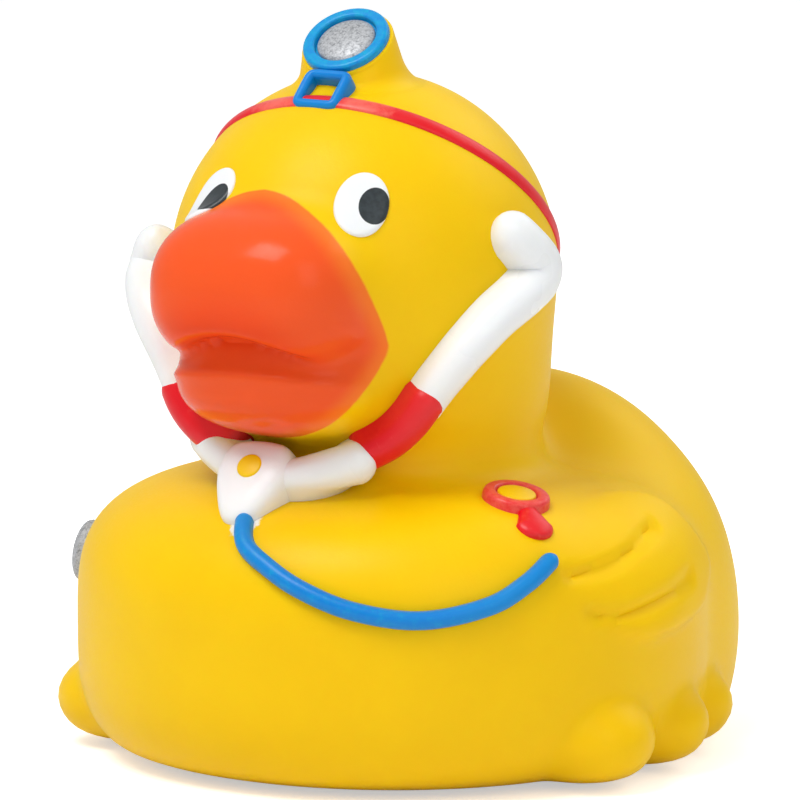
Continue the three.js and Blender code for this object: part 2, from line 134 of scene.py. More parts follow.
def bill_field(points):
    """Upper bill cut off below the mouth line, joined to a lower bill that rises behind its edge."""
    place = turned_axes(points, BILL_TURN)
    top = place - [0, UPPER_BILL["forward"], UPPER_BILL["rise"]]
    upper = pillow(top, UPPER_BILL["radii"], UPPER_BILL["up"], UPPER_BILL["down"],
                   UPPER_BILL["plan_power"], UPPER_BILL["side_power"])
    upper = meet(upper, mouth_rise(place[..., 0]) - place[..., 2], MOUTH["rounding"])
    low = place - [0, LOWER_BILL["forward"], LOWER_BILL["rise"]]
    lower = pillow(low, LOWER_BILL["radii"], LOWER_BILL["up"], LOWER_BILL["down"],
                   LOWER_BILL["plan_power"], LOWER_BILL["side_power"])
    return join(upper, lower, LOWER_BILL["blend"])


def head_field(points):
    """The head's ball with the bill grown out of it."""
    place = turned_axes(points, HEAD["turn"])
    radii = HEAD["radii"]
    return join(ellipsoid(place, radii), bill_field(points), UPPER_BILL["blend"])


def torso_field(points):
    """The wide boat of the body with its rump."""
    block = pillow(points - [0, TORSO["y"], TORSO["z"]], (TORSO["half_width"], TORSO["half_length"]),
                   TORSO["up"], TORSO["down"], TORSO["plan_power"], TORSO["side_power"])
    return join(block, ellipsoid(points - RUMP["centre"], RUMP["radii"]), RUMP["blend"])


def skin_field(points):
    """The whole outside: torso, toes on both sides, neck and head, cut flat at the base."""
    low = torso_field(points)
    for toe in TOES:
        for side in (1, -1):
            angle = math.radians(HEAD["turn"] + side * toe["azimuth"])
            offset = points - [0, TORSO["y"], toe["rise"]]
            across = offset[..., 0] * math.cos(angle) + offset[..., 1] * math.sin(angle)
            along = offset[..., 0] * math.sin(angle) - offset[..., 1] * math.cos(angle) - toe["reach"]
            low = join(low, ellipsoid(np.stack([across, along, offset[..., 2]], -1), toe["radii"]), TOE_BLEND)
    throat = ellipsoid(points - NECK["centre"], NECK["radii"])
    top = join(throat, head_field(points), HEAD["blend"])
    return meet(join(low, top, NECK["blend"]), -points[..., 2], BASE_ROUNDING)


def slope(points, step=0.02):
    """Unit normals of the skin, from differences of its field."""
    steps = np.eye(3) * step
    rise = [skin_field(points + s) - skin_field(points - s) for s in steps]
    normal = np.stack(rise, -1)
    return normal / np.linalg.norm(normal, axis=-1, keepdims=True)


def exit_points(start, directions):
    """Where rays from inside leave the skin: strides of at least a third of a millimetre, then halving."""
    start = np.broadcast_to(start, directions.shape)
    reach = np.full(directions.shape[:-1], 2.0)
    before = reach.copy()
    inside = np.ones(reach.shape, bool)
    for _ in range(110):
        value = skin_field(start[inside] + directions[inside] * reach[inside][:, None])
        still = value <= 0
        index = np.nonzero(inside)
        before[index] = np.where(still, reach[index], before[index])
        reach[index] = np.where(still, reach[index] + np.clip(-0.7 * value, 0.3, 5.0), reach[index])
        inside[index] = still
        if not inside.any():
            break
    low, high = before, reach
    for _ in range(14):
        middle = (low + high) / 2
        within = skin_field(start + directions * middle[..., None]) <= 0
        low, high = np.where(within, middle, low), np.where(within, high, middle)
    return start + directions * ((low + high) / 2)[..., None]


def direction(azimuth, elevation):
    """Unit directions: azimuth from the front towards the duck's left, elevation upwards, in degrees."""
    azimuth, elevation = np.radians(azimuth), np.radians(elevation)
    level = np.cos(elevation)
    return np.stack([np.sin(azimuth) * level, -np.cos(azimuth) * level, np.sin(elevation)], -1)


def on_torso(route):
    """Points of the skin in these directions from the torso's centre."""
    route = np.asarray(route, float)
    return exit_points(TORSO_CENTRE, direction(route[..., 0], route[..., 1]))


def on_head(route):
    """Points of the skin in these directions from the head's centre, azimuth in the head's turned axes."""
    route = np.asarray(route, float)
    return exit_points(HEAD_CENTRE, direction(route[..., 0] + HEAD["turn"], route[..., 1]))


def curve_through(knots, count, closed=False):
    """A smooth curve through the knots: each stretch is a cubic whose slopes come from its neighbours."""
    knots = np.asarray(knots, float)
    total = len(knots)
    place = np.linspace(0, total if closed else total - 1, count, endpoint=not closed)
    index = np.minimum(place.astype(int), total - 1 if closed else total - 2)
    share = (place - index)[:, None]

    def knot(i):
        return knots[i % total] if closed else knots[np.clip(i, 0, total - 1)]

    a, b, c, d = knot(index - 1), knot(index), knot(index + 1), knot(index + 2)
    return 0.5 * (2 * b + (c - a) * share + (2 * a - 5 * b + 4 * c - d) * share**2
                  + (3 * b - a - 3 * c + d) * share**3)


def grid_faces(rows, columns, loop):
    """Quads of a grid whose columns wrap round, and whose rows wrap too where loop is true."""
    last = rows if loop else rows - 1
    row = np.arange(last)[:, None]
    column = np.arange(columns)[None]
    after, beside = (row + 1) % rows, (column + 1) % columns
    quads = np.stack([row * columns + column, row * columns + beside,
                      after * columns + beside, after * columns + column], -1)
    return quads.reshape(-1, 4)


def signed_volume(points, triangles):
    """Six times the volume that outward faces would enclose."""
    a, b, c = points[triangles[:, 0]], points[triangles[:, 1]], points[triangles[:, 2]]
    return np.einsum("ij,ij->i", a, np.cross(b, c)).sum()


def add_grid(name, grid, material, loop=False, ends=None, attributes=None, sharp=math.radians(50)):
    """Puts a rows by columns grid into a closed mesh: poles close its ends unless its rows loop."""
    rows, columns = grid.shape[:2]
    points = grid.reshape(-1, 3)
    quads = grid_faces(rows, columns, loop)
    fans = np.zeros((0, 3), int)
    if not loop:
        start, end = ends if ends is not None else (grid[0].mean(0), grid[-1].mean(0))
        points = np.concatenate([points, [start, end]])
        column = np.arange(columns)
        beside = (column + 1) % columns
        first = np.stack([beside, column, np.full(columns, rows * columns)], -1)
        top = (rows - 1) * columns
        final = np.stack([top + column, top + beside, np.full(columns, rows * columns + 1)], -1)
        fans = np.concatenate([first, final])
    halves = np.concatenate([quads[:, [0, 1, 2]], quads[:, [0, 2, 3]], fans])
    if signed_volume(points - points.mean(0), halves) < 0:
        quads, fans = quads[:, ::-1], fans[:, ::-1]
    mesh = bpy.data.meshes.new(name)
    mesh.vertices.add(len(points))
    mesh.vertices.foreach_set("co", (points * MM).astype(np.float32).ravel())
    corners = np.concatenate([quads.ravel(), fans.ravel()]).astype(np.int32)
    starts = np.concatenate([np.arange(len(quads)) * 4, len(quads) * 4 + np.arange(len(fans)) * 3])
    mesh.loops.add(len(corners))
    mesh.loops.foreach_set("vertex_index", corners)
    mesh.polygons.add(len(starts))
    mesh.polygons.foreach_set("loop_start", starts.astype(np.int32))
    mesh.update(calc_edges=True)
    mesh.validate()
    for key, values in (attributes or {}).items():
        values = np.asarray(values, np.float32)
        by_row = values.reshape(rows, columns)
        poles = [] if loop else [by_row[0].mean(), by_row[-1].mean()]
        layer = mesh.attributes.new(key, "FLOAT", "POINT")
        layer.data.foreach_set("value", np.concatenate([values.ravel(), poles]).astype(np.float32))
    mesh.polygons.foreach_set("use_smooth", np.ones(len(mesh.polygons), bool))
    mesh.set_sharp_from_angle(angle=sharp)
    mesh.materials.append(material)
    piece = bpy.data.objects.new(name, mesh)
    bpy.context.scene.collection.objects.link(piece)
    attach(piece, BODY)
    return piece


def unit(vectors):
    return vectors / np.maximum(np.linalg.norm(vectors, axis=-1, keepdims=True), 1e-12)


def path_axes(path, up, closed):
    """Across and up at each station: up made square to the path, across square to both."""
    if closed:
        tangent = np.roll(path, -1, 0) - np.roll(path, 1, 0)
    else:
        tangent = np.gradient(path, axis=0)
    tangent = unit(tangent)
    up = unit(up - (up * tangent).sum(-1, keepdims=True) * tangent)
    return np.cross(tangent, up), up, tangent


def ridge_section(sides, skirt):
    """A closed section: a half circle of radius one above, straight flanks down to the skirt below."""
    turn = np.linspace(0, np.pi, sides)
    crown = np.stack([np.cos(turn), np.sin(turn)], -1)
    flank = np.linspace(0, 1, 4)[1:, None]
    left = crown[-1] + flank * ([-1.06, -skirt] - crown[-1])
    right = np.flip(crown[0] + flank * ([1.06, -skirt] - crown[0]), 0)
    return np.concatenate([crown, left, right])


def moulded_ridge(name, material, path, up, across_radius, up_radius, worn, skirt=1.0, sides=20, closed=False):
    """A raised line of the moulding: a ridge section along a path on the skin, with round ends.

    worn says where the paint is thin: it shows as the value rises past nought."""
    sideways, upward, tangent = path_axes(path, up, closed)
    wide = np.broadcast_to(across_radius, len(path)).astype(float)
    high = np.broadcast_to(up_radius, len(path)).astype(float)
    worn = np.broadcast_to(worn, len(path))
    if not closed:
        ring = np.linspace(np.pi / 2, 0.12, 7)
        reach, pad = np.sin(ring)[:, None], len(ring)
        head = path[0] - tangent[0] * wide[0] * reach
        tail = path[-1] + tangent[-1] * wide[-1] * reach
        swell = np.cos(ring) + 0.02
        path = np.concatenate([head, path, tail[::-1]])
        scale = np.concatenate([swell, np.ones(len(wide)), swell[::-1]])
        sideways, upward = (np.pad(axis, ((pad, pad), (0, 0)), mode="edge") for axis in (sideways, upward))
        wide = np.pad(wide, pad, mode="edge") * scale
        high = np.pad(high, pad, mode="edge") * (0.35 + 0.65 * scale)
        worn = np.pad(worn, pad, mode="edge")
    section = ridge_section(sides, skirt)
    out, rise = section[None, :, :1], section[None, :, 1:]
    grid = (path[:, None] + sideways[:, None] * out * wide[:, None, None]
            + upward[:, None] * rise * np.where(rise > 0, high[:, None, None], 1.0))
    layer = np.repeat(worn[:, None], len(section), 1)
    return add_grid(name, grid, material, loop=closed, attributes={"worn": layer})


def surface_patch(name, material, centre, right, top, outline, height, edge, rings=14, sink=0.6,
                  attributes=None):
    """A raised patch: rings shrink from an outline to its middle and lie on the skin.

    outline holds plan points in millimetres along right and top.
    The height follows a quarter circle over the edge's width."""
    outline = np.asarray(outline, float)
    share = np.concatenate([[1.0], 1 - (1 - np.cos(np.linspace(0, np.pi / 2, rings))) * 0.97])
    plan = outline[None] * share[:, None, None]
    reach = np.linalg.norm(outline, axis=-1)[None] * (1 - share[:, None])
    lift = height * np.sqrt(1 - (1 - np.clip(reach / edge, 0, 1)) ** 2)
    lift[0] = -sink
    normal = np.cross(right, top)
    start = centre + plan[..., :1] * right + plan[..., 1:] * top - normal * 9.0
    skin = exit_points_along(start, normal)
    grid = skin + slope(skin) * lift[..., None]
    under = skin[0].mean(0) - normal * (sink + 0.8)
    layers = {key: rule(plan) for key, rule in (attributes or {}).items()}
    return add_grid(name, grid, material, ends=(under, grid[-1].mean(0)), attributes=layers)


def exit_points_along(start, normal):
    """Where parallel rays along one normal leave the skin."""
    return exit_points(start, np.broadcast_to(normal, start.shape))


def tangent_axes(normal, upward=(0, 0, 1)):
    """Right and top in the plane square to a normal, top as near to upward as it can be."""
    upward = np.asarray(upward, float)
    top = unit(upward - normal * (upward @ normal))
    return np.cross(top, normal), top


def turned_piece(name, material, centre, normal, profile, sides=72):
    """A turned piece: (radius, height) points revolved about a normal, from near its axis and back to it."""
    profile = np.asarray(profile, float)
    right, top = tangent_axes(normal)
    angle = np.linspace(0, 2 * np.pi, sides, endpoint=False)
    spokes = np.cos(angle)[:, None] * right + np.sin(angle)[:, None] * top
    grid = centre + profile[:, None, :1] * spokes[None] + profile[:, None, 1:] * normal
    ends = (centre + normal * profile[0, 1], centre + normal * profile[-1, 1])
    return add_grid(name, grid, material, ends=ends)


def arc(centre, radius, start, end, count=8):
    """Points of a round stretch of a profile, from one angle to another in degrees."""
    angle = np.radians(np.linspace(start, end, count))
    return np.stack([centre[0] + radius * np.cos(angle), centre[1] + radius * np.sin(angle)], -1)


# Materials


def socket_value(node, name, value):
    node.inputs[name].default_value = value


def link(tree, out, into):
    tree.links.new(out, into)


def new_group(name, inputs, outputs):
    """A shader node group with named float or colour sockets."""
    tree = bpy.data.node_groups.new(name, "ShaderNodeTree")
    kinds = {"f": "NodeSocketFloat", "c": "NodeSocketColor", "v": "NodeSocketVector"}
    for key, kind, value in inputs:
        made = tree.interface.new_socket(name=key, in_out="INPUT", socket_type=kinds[kind])
        if value is not None:
            made.default_value = value
    for key, kind in outputs:
        tree.interface.new_socket(name=key, in_out="OUTPUT", socket_type=kinds[kind])
    return tree, tree.nodes.new("NodeGroupInput"), tree.nodes.new("NodeGroupOutput")


def texture_coordinates(tree):
    return tree.nodes.new("ShaderNodeTexCoord").outputs["Object"]


def feed(tree, value, socket):
    """Sets a socket to a plain value, or links another socket into it."""
    if isinstance(value, (int, float, tuple)):
        socket.default_value = value
    else:
        link(tree, value, socket)


def noise(tree, vector, scale, detail=3.0, roughness=0.55):
    node = tree.nodes.new("ShaderNodeTexNoise")
    for key, value in (("Detail", detail), ("Roughness", roughness), ("Vector", vector), ("Scale", scale)):
        feed(tree, value, node.inputs[key])
    return node.outputs["Fac"]


def fit_range(tree, value, low, high, to_low=0.0, to_high=1.0, smooth=True):
    node = tree.nodes.new("ShaderNodeMapRange")
    node.interpolation_type = "SMOOTHSTEP" if smooth else "LINEAR"
    names = ("Value", "From Min", "From Max", "To Min", "To Max")
    for key, number in zip(names, (value, low, high, to_low, to_high)):
        feed(tree, number, node.inputs[key])
    return node.outputs["Result"]


def maths(tree, kind, a, b):
    node = tree.nodes.new("ShaderNodeMath")
    node.operation = kind
    feed(tree, a, node.inputs[0])
    feed(tree, b, node.inputs[1])
    return node.outputs[0]


def mix_colour(tree, share, a, b):
    """Colour a where the share is nought and b where it is one, by the mix node's colour sockets."""
    node = tree.nodes.new("ShaderNodeMix")
    node.data_type = "RGBA"
    for index, value in ((0, share), (6, a), (7, b)):
        feed(tree, value, node.inputs[index])
    return node.outputs[2]


def attribute(tree, name):
    node = tree.nodes.new("ShaderNodeAttribute")
    node.attribute_name = name
    return node.outputs["Fac"]


def vinyl_texture_group():
    """Faint pebble of a rotary-moulded skin: a fine bump and a slow mottle, from object coordinates."""
    tree, given, out = new_group(
        "VinylTexture",
        [("Scale", "f", 2600.0), ("Depth", "f", 0.05)],
        [("Normal", "v"), ("Mottle", "f"), ("Grain", "f")],
    )
    place = texture_coordinates(tree)
    fine = noise(tree, place, given.outputs["Scale"], detail=2.0)
    slow = noise(tree, place, 55.0, detail=3.0)
    bump = tree.nodes.new("ShaderNodeBump")
    socket_value(bump, "Distance", 0.0002)
    link(tree, given.outputs["Depth"], bump.inputs["Strength"])
    link(tree, fine, bump.inputs["Height"])
    link(tree, bump.outputs["Normal"], out.inputs["Normal"])
    link(tree, slow, out.inputs["Mottle"])
    link(tree, fine, out.inputs["Grain"])
    return tree


def paint_cover_group():
    """How well a coat covers: a distance inside its edge, made ragged by a fine noise, becomes a mask."""
    tree, given, out = new_group(
        "PaintCover",
        [("Distance", "f", 1.0), ("Ragged", "f", 0.1), ("Softness", "f", 0.15), ("Grain Scale", "f", 900.0)],
        [("Cover", "f")],
    )
    grain = noise(tree, texture_coordinates(tree), given.outputs["Grain Scale"], detail=4.0, roughness=0.7)
    centred = maths(tree, "SUBTRACT", grain, 0.5)
    ragged = maths(tree, "MULTIPLY", centred, given.outputs["Ragged"])
    shifted = maths(tree, "ADD", given.outputs["Distance"], ragged)
    low = maths(tree, "MULTIPLY", given.outputs["Softness"], -0.5)
    high = maths(tree, "MULTIPLY", given.outputs["Softness"], 0.5)
    link(tree, fit_range(tree, shifted, low, high), out.inputs["Cover"])
    return tree


def place_group(tree, group, **values):
    node = tree.nodes.new("ShaderNodeGroup")
    node.node_tree = group
    for key, value in values.items():
        feed(tree, value, node.inputs[key.replace("_", " ")])
    return node


def new_material(name, roughness, coat=0.0, subsurface=0.0, metallic=0.0, specular=0.3):
    material = bpy.data.materials.new(name)
    material.use_nodes = True
    tree = material.node_tree
    shader = tree.nodes["Principled BSDF"]
    socket_value(shader, "Roughness", roughness)
    socket_value(shader, "Metallic", metallic)
    socket_value(shader, "Specular IOR Level", specular)
    socket_value(shader, "Coat Weight", coat)
    socket_value(shader, "Coat Roughness", 0.12)
    socket_value(shader, "Subsurface Weight", subsurface)
    socket_value(shader, "Subsurface Radius", (1.0, 0.42, 0.06))
    socket_value(shader, "Subsurface Scale", 0.0022)
    return material, tree, shader


def rgba(colour):
    return (colour[0], colour[1], colour[2], 1.0)


def colours():
    return bpy.context.scene.duck_colours


def sizes():
    return bpy.context.scene.duck_sizes


def group(name, maker):
    return bpy.data.node_groups.get(name) or maker()


def skin_material():
    """Yellow vinyl with the orange bill paint, thin towards its edge, a painted shade of deeper orange just
    above the mouth, and white overspray by the yoke.
    """
    material, tree, shader = new_material("painted_vinyl", 0.4, subsurface=0.22, specular=0.14)
    texture = place_group(tree, group("VinylTexture", vinyl_texture_group), Scale=2600.0, Depth=0.07)
    yellow = mix_colour(tree, fit_range(tree, texture.outputs["Mottle"], 0.3, 0.7),
                        rgba(colours().vinyl), rgba(colours().vinyl_shade))
    inside = attribute(tree, "bill_paint")
    cover = place_group(tree, group("PaintCover", paint_cover_group), Distance=inside, Ragged=0.12,
                        Softness=0.3)
    thin = fit_range(tree, inside, 0.0, 2.4, 0.75, 0.0)
    orange = mix_colour(tree, thin, rgba(colours().bill), rgba(colours().bill_edge))
    # Painted shade: the bill's orange is made deeper just above the mouth line, where the upper bill turns
    # downward.
    orange = mix_colour(tree, attribute(tree, "bill_painted_shade"), orange, rgba(colours().bill_painted_shade))
    painted = mix_colour(tree, cover.outputs["Cover"], yellow, orange)
    spray = attribute(tree, "white_spray")
    dust = place_group(tree, group("PaintCover", paint_cover_group), Distance=spray, Ragged=1.6, Softness=0.5,
                       Grain_Scale=1500.0)
    sprayed = mix_colour(tree, maths(tree, "MULTIPLY", dust.outputs["Cover"], 0.85), painted,
                         rgba(colours().white))
    link(tree, sprayed, shader.inputs["Base Color"])
    rough = fit_range(tree, cover.outputs["Cover"], 0.0, 1.0, 0.42, 0.2, smooth=False)
    varied = maths(tree, "ADD", rough, fit_range(tree, texture.outputs["Grain"], 0.3, 0.7, -0.03, 0.03))
    link(tree, varied, shader.inputs["Roughness"])
    link(tree, texture.outputs["Normal"], shader.inputs["Normal"])
    return material


def paint_material(name, colour, worn_colour, roughness=0.32, worn_scale=1100.0, subsurface=0.05):
    """A sprayed coat: its colour thins to another where the worn attribute and a fine grain say."""
    material, tree, shader = new_material(name, roughness, subsurface=subsurface)
    texture = place_group(tree, group("VinylTexture", vinyl_texture_group), Scale=1500.0, Depth=0.12)
    worn = place_group(tree, group("PaintCover", paint_cover_group), Distance=attribute(tree, "worn"),
                       Ragged=1.3, Softness=0.9, Grain_Scale=worn_scale)
    slight = fit_range(tree, texture.outputs["Mottle"], 0.35, 0.75, 0.0, 0.16)
    share = maths(tree, "MAXIMUM", maths(tree, "MULTIPLY", worn.outputs["Cover"], 0.8), slight)
    link(tree, mix_colour(tree, share, rgba(colour), rgba(worn_colour)), shader.inputs["Base Color"])
    rough = fit_range(tree, texture.outputs["Mottle"], 0.3, 0.7, roughness - 0.05, roughness + 0.07)
    link(tree, rough, shader.inputs["Roughness"])
    link(tree, texture.outputs["Normal"], shader.inputs["Normal"])
    return material


def silver_material():
    """Silver paint: fine bright and dark flakes in a matt metallic coat."""
    material, tree, shader = new_material("silver_paint", 0.45, metallic=0.25)
    place = texture_coordinates(tree)
    flakes = tree.nodes.new("ShaderNodeTexVoronoi")
    socket_value(flakes, "Scale", 4200.0)
    link(tree, place, flakes.inputs["Vector"])
    sparkle = fit_range(tree, flakes.outputs["Distance"], 0.05, 0.75)
    grain = noise(tree, place, 2300.0, detail=4.0, roughness=0.7)
    share = maths(tree, "MULTIPLY", sparkle, fit_range(tree, grain, 0.3, 0.7))
    link(tree, mix_colour(tree, share, rgba(colours().silver), rgba(colours().silver_dark)),
         shader.inputs["Base Color"])
    bump = tree.nodes.new("ShaderNodeBump")
    socket_value(bump, "Strength", 0.35)
    socket_value(bump, "Distance", 0.0001)
    link(tree, grain, bump.inputs["Height"])
    link(tree, bump.outputs["Normal"], shader.inputs["Normal"])
    link(tree, fit_range(tree, grain, 0.3, 0.7, 0.34, 0.52), shader.inputs["Roughness"])
    return material


def eye_material():
    """White paint with a dark grey pupil, whose distance is an attribute of the eye."""
    material, tree, shader = new_material("eye_paint", 0.3, subsurface=0.04)
    texture = place_group(tree, group("VinylTexture", vinyl_texture_group), Scale=1800.0, Depth=0.08)
    pupil = place_group(tree, group("PaintCover", paint_cover_group), Distance=attribute(tree, "pupil"),
                        Ragged=0.08, Softness=0.08)
    dark = mix_colour(tree, fit_range(tree, texture.outputs["Grain"], 0.3, 0.7), rgba(colours().pupil),
                      rgba(colours().pupil_shade))
    painted = mix_colour(tree, pupil.outputs["Cover"], rgba(colours().white), dark)
    link(tree, painted, shader.inputs["Base Color"])
    link(tree, fit_range(tree, texture.outputs["Mottle"], 0.3, 0.7, 0.26, 0.36), shader.inputs["Roughness"])
    link(tree, texture.outputs["Normal"], shader.inputs["Normal"])
    return material


def plug_material():
    """Pale squeaker plastic with a fine mould texture."""
    material, tree, shader = new_material("squeaker_plastic", 0.5, subsurface=0.03)
    texture = place_group(tree, group("VinylTexture", vinyl_texture_group), Scale=1900.0, Depth=0.1)
    link(tree, mix_colour(tree, fit_range(tree, texture.outputs["Mottle"], 0.3, 0.7), rgba(colours().plug),
                          rgba(colours().plug_shade)), shader.inputs["Base Color"])
    link(tree, fit_range(tree, texture.outputs["Grain"], 0.3, 0.7, 0.44, 0.56), shader.inputs["Roughness"])
    link(tree, texture.outputs["Normal"], shader.inputs["Normal"])
    return material


MATERIALS = {}


def material(name):
    """Each finish is made once and kept by name."""
    makers = {
        "skin": skin_material,
        "white": lambda: paint_material("white_paint", colours().white, colours().white_thin, 0.3),
        "red": lambda: paint_material("red_paint", colours().red, colours().red_worn, 0.33),
        "blue": lambda: paint_material("blue_paint", colours().blue, colours().blue_thin, 0.34),
        "yellow": lambda: paint_material("yellow_paint", colours().vinyl, colours().vinyl_shade, 0.36),
        "silver": silver_material,
        "eye": eye_material,
        "plug": plug_material,
    }
    if name not in MATERIALS:
        MATERIALS[name] = makers[name]()
    return MATERIALS[name]


# Places of the relief: azimuth and elevation in degrees, about the head's or the torso's centre.
PAINT_CENTRE_RISE = -4.0
PAINT_EDGE = ((0, 13.0), (12, 12.7), (30, 12.1), (53, 12.2), (78, 12.6), (96, 13.6), (102, 13.8), (121, 13.2),
              (154, 12.3), (180, 12.8))
WING_CENTRE = (84.0, 3.5)
WING_OUTLINE = ((87.7, 19.3), (97.7, 15.5), (102.3, 7.8), (105.3, 1.5), (102.2, -3.7), (97.5, -7.6),
                (88.7, -9.7), (79.1, -10.0), (71.5, -7.5), (67.1, -4.2), (63.3, 1.1), (62.2, 3.7),
                (62.3, 8.8), (72.0, 17.0))
FEATHER_LINES = (
    ((62.2, 3.7), (68.1, 3.6), (76, 5.1), (86.9, 9)),
    ((66, -3.2), (74, -4.1), (82.3, -2.6), (91.6, -0.3)),
)
TUBE_ROUTE = ((74.6, 12.8), (78.2, 9.0), (82.2, 4.6), (81.2, 0.0), (75, -4.0), (65.5, -9.5), (57.5, -17),
              (51.3, -25), (45.5, -32.8))
# The far tube lies nearer the face at its top, as the photograph shows it beside the bill.
FAR_TUBE = {"turn": 12.0, "lift": 1.0}
SLEEVE_ROUTE = ((44.8, -32.5), (41, -37), (35.5, -41.5), (28.5, -45.2))
HUB = (1.2, 18.6)
HUB_FACE = (9.0, 38.0)
# Places of the yoke's arms in millimetres, at the height of their middle lines.
ARM_PLACES = {
    "left": ((1.5, -29.2, 33.6), (5.4, -28.6, 34.1), (8.3, -27.2, 34.8), (10.8, -25.4, 35.6)),
    "right": ((0.5, -29.2, 33.6), (-3.6, -28.8, 34.9), (-6.8, -27.4, 35.8), (-10.0, -25.0, 36.6)),
}
STEM_ROUTE = ((3.2, 17.0), (4.7, 11.2))
HOSE_ROUTE = ((4.7, 11.6), (7.5, 8.0), (12.6, 5.0), (18.5, 2.0), (27, -1.0), (37.6, -2.4), (48.3, -0.6),
              (54.9, 2.5), (59.8, 5.7))
CHEST_PIECE = (60.0, 19.0)
BELL = (-55.0, -0.5)
EYE = {"azimuth": 26.2, "elevation": 23.0}
LINK = {"elevation": 63.5}
BAND = {"rise": 10.9, "slope": 0.75}
MIRROR = {"forward": 4.0, "rise": 25.0, "tilt": 50.0, "foot_forward": 2.6}


def skin_grid(columns, low_rows, top_rows):
    """Rows of rays: from the vent's rim to a tilted seam round the neck, then on to the crown.

    Each row lies a share of the way along the great circle between its two ends."""
    even = np.linspace(0, 2 * np.pi, columns, endpoint=False)
    azimuth = even - 0.35 * np.sin(even)
    flat = np.stack([np.sin(azimuth), -np.cos(azimuth), 0 * azimuth], -1)
    middle, half = (SEAM["front"] + SEAM["back"]) / 2, (SEAM["back"] - SEAM["front"]) / 2
    start = np.stack([0 * azimuth, 0 * azimuth + NECK["centre"][1], middle - half * np.cos(azimuth)], -1)
    seam = exit_points(start, flat)

    def fan(centre, first, shares):
        last = unit(seam - centre)
        first = np.broadcast_to(first, last.shape)
        wide = np.arccos(np.clip((first * last).sum(-1), -1, 1))[None, :, None]
        shares = shares[:, None, None]
        rays = (np.sin((1 - shares) * wide) * first + np.sin(shares * wide) * last) / np.sin(wide)
        return exit_points(centre, rays)

    rim = flat * VENT["recess_radius"]
    low = fan(TORSO_CENTRE, unit(rim - TORSO_CENTRE), np.linspace(0, 1, low_rows + 1)[1:-1])
    top = fan(HEAD_CENTRE, np.array([0.0, 0.0, 1.0]), np.linspace(1, 0, top_rows + 1)[1:-1] ** 0.8)
    pocket = [flat * VENT["radius"] + [0, 0, VENT["depth"]],
              flat * VENT["radius"] + [0, 0, VENT["recess_depth"]],
              rim + [0, 0, VENT["recess_depth"]], rim]
    crown = exit_points(HEAD_CENTRE, np.array([[0.0, 0.0, 1.0]]))[0]
    return np.concatenate([np.array(pocket), low, seam[None], top]), crown


def even_out(grid, fixed, rounds):
    """Evens the spacing: each point moves towards the mean of its neighbours, then back on to the skin."""
    for _ in range(rounds):
        mean = (np.roll(grid, 1, 1) + np.roll(grid, -1, 1))
        mean[1:-1] += grid[2:] + grid[:-2]
        moved = grid.copy()
        moved[fixed:-1] = mean[fixed:-1] / 4
        moved[fixed:-1] = grid[fixed:-1] + 0.5 * (moved[fixed:-1] - grid[fixed:-1])
        free = moved[fixed:-1]
        normal = slope(free)
        free -= normal * np.clip(skin_field(free), -0.6, 0.6)[..., None] * 0.8
        free -= slope(free) * np.clip(skin_field(free), -0.4, 0.4)[..., None] * 0.8
        grid = moved
    return grid


def distance_to_route(points, route):
    """Least distance from each point to a route, over its stretches."""
    best = np.full(points.shape[:-1], 1e9)
    for a, b in zip(route[:-1], route[1:]):
        along = b - a
        share = np.clip(((points - a) @ along) / (along @ along), 0, 1)
        best = np.minimum(best, np.linalg.norm(points - a - share[..., None] * along, axis=-1))
    return best


def smooth_step(value, low, high):
    share = np.clip((value - low) / (high - low), 0, 1)
    return share * share * (3 - 2 * share)


def wing_height(points):
    """Height of both wings over the torso: a rounded swell inside an outline, less two soft feather lines."""
    mirrored = points.copy()
    mirrored[..., 0] = np.abs(points[..., 0])
    ray = unit(mirrored - TORSO_CENTRE)
    azimuth = np.degrees(np.arctan2(ray[..., 0], -ray[..., 1]))
    elevation = np.degrees(np.arcsin(ray[..., 2]))
    outline = np.asarray(WING_OUTLINE) - WING_CENTRE
    smooth = curve_through(outline, 120, closed=True)
    angle = np.arctan2(smooth[:, 1], smooth[:, 0])
    radius = np.linalg.norm(smooth, axis=-1)
    order = np.argsort(angle)
    across, rise = azimuth - WING_CENTRE[0], elevation - WING_CENTRE[1]
    edge = np.interp(np.arctan2(rise, across), angle[order], radius[order], period=2 * np.pi)
    inside = (edge - np.hypot(across, rise)) * 0.62
    fade = smooth_step(across * 0.75 - rise * 0.45, -15.0, 7.0)
    height = 2.0 * fade * smooth_step(inside, -0.3, 1.9)
    for line in FEATHER_LINES:
        route = curve_through(on_torso(line), 24)
        near = distance_to_route(mirrored, route)
        height -= 0.8 * np.exp(-((near / 0.65) ** 2)) * smooth_step(inside, -0.5, 1.0)
    return height


def lip_height(points):
    """Relief of the lower bill: a raised lip on a drooping arc, with a hollow above it to the mouth line."""
    place = turned_axes(points, BILL_TURN)
    side = np.clip(np.abs(place[..., 0]) / LIP["half_width"], 0, 1)
    lip = LIP["below"] * (1 - side**2)
    below = mouth_rise(place[..., 0]) - place[..., 2]
    front = smooth_step(place[..., 1], 12.0, 16.0) * smooth_step(side, 1.0, 0.8)
    ridge = np.exp(-(((below - lip) / 0.75) ** 2))
    hollow = np.exp(-(((below - 0.5 * lip) / 0.9) ** 2))
    return front * (LIP["height"] * ridge - LIP["hollow"] * hollow)


def bill_distance(points):
    """Millimetres inside the bill's paint edge, a radius that changes with the angle round its axis."""
    place = turned_axes(points, BILL_TURN)
    across, rise = np.abs(place[..., 0]), place[..., 2] - PAINT_CENTRE_RISE
    angle = np.degrees(np.arctan2(across, rise))
    knots = curve_through(PAINT_EDGE, 90)
    edge = np.interp(angle, knots[:, 0], knots[:, 1])
    bulge = np.maximum(place[..., 1] - 17.0, 0) * 0.35
    inside = edge - np.hypot(across, rise) + bulge
    return np.where(place[..., 1] > 8.0, inside, -5.0)


